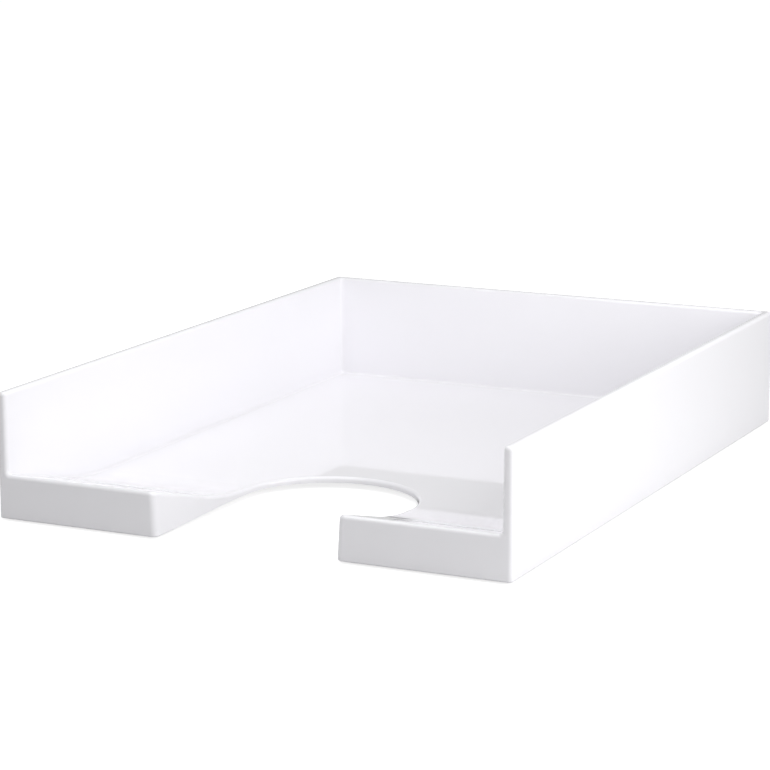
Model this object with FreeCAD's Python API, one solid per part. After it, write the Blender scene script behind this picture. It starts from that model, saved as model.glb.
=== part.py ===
import FreeCAD, Part
import math
import os

from FreeCAD import Vector

# Letter tray, millimetres. +X is the right-hand side seen from the front, +Y the back, +Z up.
# The origin is on the surface that the tray stands on, below the middle of its footprint.

# Overall size
WIDTH = 255.0
DEPTH = 348.0
HEIGHT = 60.0
STAND = 1.0                    # clearance that the feet leave under the moulding

# Walls and floor
WALL = 4.5                     # thickness of the walls at the rim
WALL_DRAFT = 0.4               # lean of the inner wall faces, degrees
FLOOR = 3.0                    # thickness of the floor and of the ramp's shell
FLOOR_RISE = 1.8               # the floor's underside lies this far above the lower wall edges
OUTER_CORNER_R = 2.0           # upright outer corners
INNER_CORNER_R = 1.7           # upright inner corners at the back
FOOT_FILLET_R = 1.6            # where the inner walls meet the floor
EDGE_R = 1.8                   # rim, front edges, lip and the upper edge of the cut-out
BASE_EDGE_R = 0.8              # edges round the underside

# Front lip and ramp
LIP_HEIGHT = 21.2              # top of the lip above the lower wall edges
RAMP_LENGTH = 62.5             # from the front face to where the ramp would meet the floor
RAMP_BLEND_R = 190.0           # soft transition from the ramp into the floor

# Finger cut-out: straight sides that run back into a round end
CUTOUT_R = 43.9                # radius of the round end, measured at the height of the lip
CUTOUT_DRAFT = 3.3             # the cut-out narrows downwards, degrees
CUTOUT_TAPER = 1.4             # each side leans inwards towards the back, degrees
CUTOUT_CENTRE = 79.7           # centre of the round end behind the front face
CUTOUT_CORNER_R = 3.0          # upright corners between the cut-out and the front face

# Hollow under the ramp
LIP_WALL = 3.5                 # thickness of the lip's front wall
CHEEK_WALL = 3.0               # thickness of the walls beside the cut-out
HOLLOW_MIN_DEPTH = 2.5         # depth of the hollow where it stops at the floor
RIB = 1.5                      # rib thickness
RIB_COUNT = 3                  # ribs that run front to back, on each side
RIB_PITCH = 22.0               # distance between them
RIB_SETBACK = 0.8              # the ribs stop this far above the underside

# Feet: round anti-slip discs in recesses
FOOT_R = 6.0
FOOT_HEIGHT = 1.4
FOOT_CHAMFER = 0.3
FOOT_INSET = 18.0              # foot centre from the outer wall faces
ADHESIVE = 0.2
RECESS_R = 6.5
PAD_R = 8.5                    # round pad that holds a foot
PAD_BORE_R = 4.0               # bore of the tall pads under the ramp

# Gate mark in the middle of the underside
GATE_R = 4.0
GATE_DEPTH = 0.4

FRONT = -DEPTH / 2
BACK = DEPTH / 2
SIDE = WIDTH / 2
UNDERSIDE = STAND + FLOOR_RISE
FLOOR_TOP = UNDERSIDE + FLOOR
LIP_TOP = STAND + LIP_HEIGHT
RAMP_SLOPE = math.atan2(LIP_TOP - FLOOR_TOP, RAMP_LENGTH)
RECESS_DEPTH = FOOT_HEIGHT + ADHESIVE - STAND
CLEAR = 5.0                    # how far a cutting solid runs past the surface that it opens
TOUCH = 0.01                   # distance at which an edge counts as lying in a plane


def box(low, high):
    size = [b - a for a, b in zip(low, high)]
    return Part.makeBox(size[0], size[1], size[2], Vector(*low))


def edges_where(shape, test):
    """The edges whose bounding box passes the test."""
    return [edge for edge in shape.Edges if test(edge.BoundBox)]


def is_level(bounds, z):
    return abs(bounds.ZMin - z) < TOUCH and abs(bounds.ZMax - z) < TOUCH


def is_upright(bounds):
    """True for an edge that is much taller than it is wide."""
    return bounds.ZLength > 10 * (bounds.XLength + bounds.YLength + TOUCH)


def wall_at(z):
    """Thickness of the walls at one height."""
    return WALL + (HEIGHT - z) * math.tan(math.radians(WALL_DRAFT))


def ramp_height(y):
    """Height of the ramp's straight surface, y behind the front face."""
    return FLOOR_TOP + (RAMP_LENGTH - y) * math.tan(RAMP_SLOPE)


def outer_block():
    block = box((-SIDE, FRONT, STAND), (SIDE, BACK, HEIGHT))
    return block.makeFillet(OUTER_CORNER_R, edges_where(block, is_upright))


def paper_profile():
    """Side view of the paper space above the floor, the soft blend and the ramp."""
    def point(y, z):
        return Vector(0, FRONT + y, z)

    foot = point(RAMP_LENGTH, FLOOR_TOP)
    up_ramp = (point(0, LIP_TOP) - foot).normalize()
    to_back = Vector(0, 1, 0)
    half_turn = RAMP_SLOPE / 2
    blend = RAMP_BLEND_R * math.tan(half_turn)
    blend_low = foot + to_back * blend
    blend_high = foot + up_ramp * blend
    blend_mid = foot + (up_ramp + to_back).normalize() * RAMP_BLEND_R * (1 / math.cos(half_turn) - 1)
    high = HEIGHT + CLEAR
    surround = [blend_low, point(DEPTH, FLOOR_TOP), point(DEPTH, high), point(-CLEAR, high),
                point(-CLEAR, ramp_height(-CLEAR)), blend_high]
    edges = [Part.Arc(blend_high, blend_mid, blend_low)]
    edges += [Part.LineSegment(start, end) for start, end in zip(surround, surround[1:])]
    return Part.Wire([edge.toShape() for edge in edges])


def drafted_prism(low, high, front, low_back, high_back, low_half, high_half):
    """A prism between two heights whose sides and back lean outwards."""
    wedge = Part.makeWedge(-low_half, low, -low_back, -high_back, -high_half,
                           low_half, high, -front, -front, high_half)
    wedge.rotate(Vector(0, 0, 0), Vector(1, 0, 0), 90)
    return wedge


def paper_space():
    """Everything above the floor and inside the walls, with drafted sides and filleted foot."""
    length = WIDTH + 2 * CLEAR
    side_view = Part.Face(paper_profile())
    side_view.translate(Vector(-length / 2, 0, 0))
    profile = side_view.extrude(Vector(length, 0, 0))

    low, high = STAND - CLEAR, HEIGHT + CLEAR
    low_wall, high_wall = wall_at(low), wall_at(high)
    drafted = drafted_prism(low, high, FRONT - 2 * CLEAR, BACK - low_wall, BACK - high_wall,
                            SIDE - low_wall, SIDE - high_wall)
    space = profile.common(drafted)
    corners = edges_where(space, lambda b: is_upright(b) and b.YMin > 0)
    space = space.makeFillet(INNER_CORNER_R, corners)
    return space.makeFillet(FOOT_FILLET_R, foot_edges(space))


def foot_edges(space):
    """The chain of edges where the floor and ramp meet the side and back walls."""
    def test(b):
        below_lip = b.ZMax < ramp_height(-CLEAR) + TOUCH
        beside = min(abs(b.XMin), abs(b.XMax)) > SIDE - 3 * WALL
        return below_lip and (beside or b.YMin > BACK - 3 * WALL)
    return edges_where(space, test)


def flat_sided(low, high):
    """The solid between two outlines that have the same number of corners."""
    outlines = [low, high]
    for number in range(len(low)):
        outlines.append([low[number - 1], low[number], high[number], high[number - 1]])
    shell = Part.makeShell([Part.Face(Part.makePolygon(points + points[:1])) for points in outlines])
    shell.sewShape()
    return Part.makeSolid(shell)


def cutout():
    """The finger cut-out: a drafted slot from the front that ends in part of a cone."""
    taper = math.radians(CUTOUT_TAPER)
    centre = FRONT + CUTOUT_CENTRE
    start = FRONT - CLEAR

    def radius(z):
        return CUTOUT_R - (LIP_TOP - z) * math.tan(math.radians(CUTOUT_DRAFT))

    def outline(z):
        half = (radius(z) + (centre - start) * math.sin(taper)) / math.cos(taper)
        x = radius(z) * math.cos(taper)
        y = centre + radius(z) * math.sin(taper)
        corners = [(-half, start), (half, start), (x, y), (0, centre), (-x, y)]
        return [Vector(*corner, z) for corner in corners]

    low, high = STAND - CLEAR, LIP_TOP + CLEAR
    slot = flat_sided(outline(low), outline(high))
    end = Part.makeCone(radius(low), radius(high), high - low, Vector(0, centre, low), Vector(0, 0, 1),
                        180 - 2 * CUTOUT_TAPER)
    end.rotate(Vector(0, centre, low), Vector(0, 0, 1), CUTOUT_TAPER)
    return slot.fuse(end).removeSplitter()


def foot_centres():
    x = SIDE - FOOT_INSET
    y = BACK - FOOT_INSET
    return {"front_left": (-x, -y), "front_right": (x, -y), "rear_left": (-x, y), "rear_right": (x, y)}


def ramp_hollow():
    """The space under the ramp on the right-hand side, less its ribs and its foot pad."""
    shell = FLOOR / math.cos(RAMP_SLOPE)
    end = RAMP_LENGTH - (STAND + HOLLOW_MIN_DEPTH + shell - FLOOR_TOP) / math.tan(RAMP_SLOPE)
    low = STAND - CLEAR
    profile = Part.makePolygon([
        Vector(0, FRONT + LIP_WALL, low),
        Vector(0, FRONT + LIP_WALL, ramp_height(LIP_WALL) - shell),
        Vector(0, FRONT + end, ramp_height(end) - shell),
        Vector(0, FRONT + end, low),
        Vector(0, FRONT + LIP_WALL, low),
    ])
    inner = CUTOUT_R + CUTOUT_CENTRE * math.tan(math.radians(CUTOUT_TAPER)) + CHEEK_WALL
    outer = SIDE - wall_at(FLOOR_TOP)
    space = Part.Face(profile).extrude(Vector(outer - inner, 0, 0))
    space.translate(Vector(inner, 0, 0))

    rib_low = STAND + RIB_SETBACK
    x, y = foot_centres()["front_right"]
    solids = [box((inner, y - RIB / 2, rib_low), (outer, y + RIB / 2, LIP_TOP))]
    for number in range(RIB_COUNT):
        middle = x - number * RIB_PITCH
        solids.append(box((middle - RIB / 2, FRONT, rib_low), (middle + RIB / 2, FRONT + end, LIP_TOP)))
    solids.append(Part.makeCylinder(PAD_R, LIP_HEIGHT, Vector(x, y, STAND)))
    bore = space.common(Part.makeCylinder(PAD_BORE_R, LIP_HEIGHT, Vector(x, y, STAND)))
    return space.cut(solids[0].multiFuse(solids[1:])).fuse(bore)


def upper_edges(shell):
    """The sharp edges of the rim, of the front and along the top of the cut-out."""
    seam = SIDE - OUTER_CORNER_R

    def test(b):
        half_width = max(abs(b.XMin), abs(b.XMax))
        raised = b.ZMin > STAND + TOUCH
        in_cutout = half_width < SIDE / 2
        in_front = b.YMax < FRONT + TOUCH and b.ZMax > STAND + TOUCH
        on_front = in_front and not in_cutout and abs(half_width - seam) > TOUCH
        return is_level(b, HEIGHT) or on_front or (in_cutout and raised)
    return edges_where(shell, test)


def rounded_shell():
    """The moulding's outside, with its edges rounded."""
    shell = outer_block().cut(paper_space()).cut(cutout()).removeSplitter()

    def is_cutout_corner(b):
        return is_upright(b) and b.YMax < FRONT + TOUCH and max(abs(b.XMin), abs(b.XMax)) < SIDE / 2

    shell = shell.makeFillet(CUTOUT_CORNER_R, edges_where(shell, is_cutout_corner))
    shell = shell.makeFillet(EDGE_R, upper_edges(shell))
    return shell.makeFillet(BASE_EDGE_R, edges_where(shell, lambda b: is_level(b, STAND)))


def underside_space():
    """The shallow space below the floor, inside the lower wall edges and round the foot pads."""
    points = [
        Vector(0, FRONT + LIP_WALL, STAND - CLEAR),
        Vector(0, FRONT + LIP_WALL, STAND),
        Vector(0, FRONT + RAMP_LENGTH, UNDERSIDE),
        Vector(0, BACK - wall_at(FLOOR_TOP), UNDERSIDE),
        Vector(0, BACK - wall_at(FLOOR_TOP), STAND - CLEAR),
    ]
    half = SIDE - wall_at(FLOOR_TOP)
    space = Part.Face(Part.makePolygon(points + points[:1])).extrude(Vector(2 * half, 0, 0))
    space.translate(Vector(-half, 0, 0))
    low = STAND - 2 * CLEAR
    for x, y in foot_centres().values():
        space = space.cut(Part.makeCylinder(PAD_R, FLOOR_TOP - low, Vector(x, y, low)))
    return space


def tray_body():
    body = rounded_shell()
    hollow = ramp_hollow()
    body = body.cut(hollow).cut(hollow.mirror(Vector(0, 0, 0), Vector(1, 0, 0)))
    body = body.cut(underside_space())
    gate_y = (CUTOUT_CENTRE + CUTOUT_R + DEPTH) / 2
    marks = [(x, y, RECESS_R, STAND + RECESS_DEPTH) for x, y in foot_centres().values()]
    marks.append((0, FRONT + gate_y, GATE_R, UNDERSIDE + GATE_DEPTH))
    for x, y, radius, top in marks:
        body = body.cut(Part.makeCylinder(radius, top + CLEAR, Vector(x, y, -CLEAR)))
    return body.removeSplitter()


def foot():
    """One foot, its top face at z = 0 and its resting face below."""
    disc = Part.makeCylinder(FOOT_R, FOOT_HEIGHT, Vector(0, 0, -FOOT_HEIGHT))
    lower_edge = edges_where(disc, lambda b: is_level(b, -FOOT_HEIGHT))
    return disc.makeChamfer(FOOT_CHAMFER, lower_edge)


def build():
    nodes = {"tray_body": tray_body()}
    seat = STAND + RECESS_DEPTH
    for place, (x, y) in foot_centres().items():
        pad = foot()
        pad.translate(Vector(x, y, seat - ADHESIVE))
        nodes["foot_" + place] = pad
        nodes["adhesive_" + place] = Part.makeCylinder(FOOT_R, ADHESIVE, Vector(x, y, seat - ADHESIVE))
    return nodes


def main():
    os.makedirs("parts", exist_ok=True)
    for name, shape in build().items():
        print(name, shape.isValid(), len(shape.Solids), round(shape.Volume, 1))
        shape.exportStep(os.path.join("parts", name + ".step"))


main()
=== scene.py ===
import math

import bpy
from mathutils import Euler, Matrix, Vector


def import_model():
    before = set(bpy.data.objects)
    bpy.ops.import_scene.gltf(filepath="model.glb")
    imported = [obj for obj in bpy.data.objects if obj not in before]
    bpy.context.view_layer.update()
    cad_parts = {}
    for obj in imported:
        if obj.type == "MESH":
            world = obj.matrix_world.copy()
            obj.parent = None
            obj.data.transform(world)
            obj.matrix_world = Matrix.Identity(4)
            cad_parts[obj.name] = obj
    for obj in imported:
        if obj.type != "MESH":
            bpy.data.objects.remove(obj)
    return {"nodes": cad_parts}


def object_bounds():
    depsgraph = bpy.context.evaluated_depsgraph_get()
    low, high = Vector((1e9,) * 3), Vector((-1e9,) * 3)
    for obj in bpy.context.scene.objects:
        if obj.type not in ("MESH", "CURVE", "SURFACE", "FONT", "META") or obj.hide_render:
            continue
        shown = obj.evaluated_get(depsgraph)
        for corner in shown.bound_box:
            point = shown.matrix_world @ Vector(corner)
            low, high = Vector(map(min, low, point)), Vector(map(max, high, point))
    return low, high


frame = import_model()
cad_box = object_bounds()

# Camera, in metres and degrees. Yaw turns it left from +Y, pitch tips it down.
CAMERA_PLACE = (0.5741, -1.2308, 0.3273)
CAMERA_YAW = 25.57
CAMERA_PITCH = 11.87
LENS = 132.2
SENSOR = 36.0
CLIP_START = 0.01
CLIP_END = 200.0

# Softboxes: place, width and power. Each one is aimed at the middle of the tray.
SOFTBOXES = {
    "light_right": ((0.6, -0.1, 0.3), 0.4, 2.2),
    "light_front_right": ((0.4, -0.6, 0.14), 0.2, 0.24),
    "light_top": ((0.0, -0.2, 0.5), 0.4, 0.98),
    "light_top_rear": ((0.0, 0.25, 0.8), 0.8, 0.46),
}
WORLD_STRENGTH = 0.48

# Stage floor: what the camera sees is brighter than what lights the tray from below.
FLOOR_SIZE = 60.0
FLOOR_ROUGHNESS = 0.7
FLOOR_SPECULAR = 0.2
FLOOR_SEEN_GREY = 0.45
FLOOR_SEEN_GLOW = 0.8

# Moulded plastic: a white with a slight lavender tint
PLASTIC_DARK = (0.925, 0.918, 0.948, 1)
PLASTIC_LIGHT = (0.935, 0.928, 0.958, 1)
PLASTIC_IOR = 1.55
PLASTIC_WAVE = 0.00006         # height of the faint waves in the moulded surface, metres
RUBBER_GRAIN = 0.00008         # height of the rubber's grain, metres

# Sockets of a Mix node that mixes colours
MIX_FACTOR, MIX_FIRST, MIX_SECOND, MIX_RESULT = 0, 6, 7, 2


def grey(value):
    return (value, value, value, 1)


class Nodes:
    """A material's node tree, with short ways to add and link nodes."""

    def __init__(self, name):
        self.material = bpy.data.materials.new(name)
        self.material.use_nodes = True
        self.tree = self.material.node_tree
        self.shader = self.tree.nodes["Principled BSDF"]
        self.position = self.add("ShaderNodeTexCoord").outputs["Object"]

    def add(self, kind, inputs=None, **settings):
        """Adds a node. Each input is a value, or the output socket to link to it."""
        node = self.tree.nodes.new(kind)
        for key, value in settings.items():
            setattr(node, key, value)
        for key, value in (inputs or {}).items():
            if isinstance(value, bpy.types.NodeSocket):
                self.tree.links.new(value, node.inputs[key])
            else:
                node.inputs[key].default_value = value
        return node

    def noise(self, scale, detail=3.0):
        inputs = {"Vector": self.position, "Scale": scale, "Detail": detail}
        return self.add("ShaderNodeTexNoise", inputs).outputs["Fac"]

    def ramp(self, value, low, high):
        """Maps 0..1 to low..high."""
        node = self.add("ShaderNodeMapRange", {"Value": value, "To Min": low, "To Max": high})
        return node.outputs["Result"]

    def mix_colours(self, factor, first, second):
        inputs = {MIX_FACTOR: factor, MIX_FIRST: first, MIX_SECOND: second}
        return self.add("ShaderNodeMix", inputs, data_type="RGBA").outputs[MIX_RESULT]

    def bump(self, height, distance):
        return self.add("ShaderNodeBump", {"Height": height, "Distance": distance}).outputs["Normal"]

    def feed(self, socket, source):
        self.tree.links.new(source, self.shader.inputs[socket])

    def set(self, **values):
        for name, value in values.items():
            self.shader.inputs[name.replace("_", " ")].default_value = value


def tray_plastic():
    m = Nodes("tray_plastic")
    m.feed("Base Color", m.mix_colours(m.noise(9.0), PLASTIC_DARK, PLASTIC_LIGHT))
    m.feed("Roughness", m.ramp(m.noise(60.0, 5.0), 0.025, 0.045))
    m.feed("Normal", m.bump(m.noise(9.0, 1.0), PLASTIC_WAVE))
    m.set(IOR=PLASTIC_IOR)
    return m.material


def foot_rubber():
    m = Nodes("foot_rubber")
    m.feed("Base Color", m.mix_colours(m.noise(400.0), (0.74, 0.74, 0.73, 1), (0.80, 0.80, 0.79, 1)))
    m.feed("Roughness", m.ramp(m.noise(900.0), 0.55, 0.75))
    m.feed("Normal", m.bump(m.noise(2500.0), RUBBER_GRAIN))
    return m.material


def foot_adhesive():
    m = Nodes("foot_adhesive")
    m.feed("Base Color", m.mix_colours(m.noise(500.0), (0.80, 0.80, 0.77, 1), (0.86, 0.86, 0.83, 1)))
    m.feed("Roughness", m.ramp(m.noise(700.0), 0.4, 0.6))
    return m.material


def floor_material():
    """Near-white to the camera, and a mid grey to every other ray."""
    m = Nodes("floor")
    m.feed("Base Color", m.mix_colours(m.noise(2.0), grey(0.59), grey(0.61)))
    m.set(Roughness=FLOOR_ROUGHNESS, Specular_IOR_Level=FLOOR_SPECULAR)
    seen = m.add("ShaderNodeBsdfPrincipled", {
        "Base Color": grey(FLOOR_SEEN_GREY),
        "Roughness": FLOOR_ROUGHNESS,
        "Specular IOR Level": FLOOR_SPECULAR,
        "Emission Color": grey(1),
        "Emission Strength": FLOOR_SEEN_GLOW,
    })
    ray = m.add("ShaderNodeLightPath").outputs["Is Camera Ray"]
    both = m.add("ShaderNodeMixShader", {0: ray, 1: m.shader.outputs[0], 2: seen.outputs[0]})
    m.tree.links.new(both.outputs[0], m.tree.nodes["Material Output"].inputs[0])
    return m.material


def floor():
    mesh = bpy.data.meshes.new("floor")
    half = FLOOR_SIZE / 2
    corners = [(-half, -half, 0), (half, -half, 0), (half, half, 0), (-half, half, 0)]
    mesh.from_pydata(corners, [], [(0, 1, 2, 3)])
    mesh.materials.append(floor_material())
    obj = bpy.data.objects.new("floor", mesh)
    bpy.context.scene.collection.objects.link(obj)


def softbox(name, place, width, power, target):
    data = bpy.data.lights.new(name, "AREA")
    data.shape = "SQUARE"
    data.size = width
    data.energy = power
    obj = bpy.data.objects.new(name, data)
    obj.location = place
    obj.rotation_mode = "QUATERNION"
    obj.rotation_quaternion = (target - Vector(place)).to_track_quat("-Z", "Y")
    obj.visible_camera = False
    bpy.context.scene.collection.objects.link(obj)


def world():
    studio = bpy.data.worlds.new("studio")
    studio.use_nodes = True
    background = studio.node_tree.nodes["Background"]
    background.inputs["Color"].default_value = grey(1)
    background.inputs["Strength"].default_value = WORLD_STRENGTH
    bpy.context.scene.world = studio


def camera():
    data = bpy.data.cameras.new("camera")
    data.lens = LENS
    data.sensor_width = SENSOR
    data.clip_start, data.clip_end = CLIP_START, CLIP_END
    obj = bpy.data.objects.new("camera", data)
    obj.location = CAMERA_PLACE
    obj.rotation_euler = Euler((math.radians(90 - CAMERA_PITCH), 0, math.radians(CAMERA_YAW)))
    bpy.context.scene.collection.objects.link(obj)
    bpy.context.scene.camera = obj


def paint_nodes():
    """Gives each CAD node the finish that the first word of its name stands for."""
    finishes = {"tray": tray_plastic(), "foot": foot_rubber(), "adhesive": foot_adhesive()}
    for name, node in frame["nodes"].items():
        for slot in node.material_slots:
            slot.material = finishes[name.split("_")[0]]


bpy.context.scene.view_settings.view_transform = "Standard"
paint_nodes()
floor()
middle = (Vector(cad_box[0]) + Vector(cad_box[1])) / 2
for name, values in SOFTBOXES.items():
    softbox(name, *values, middle)
world()
camera()
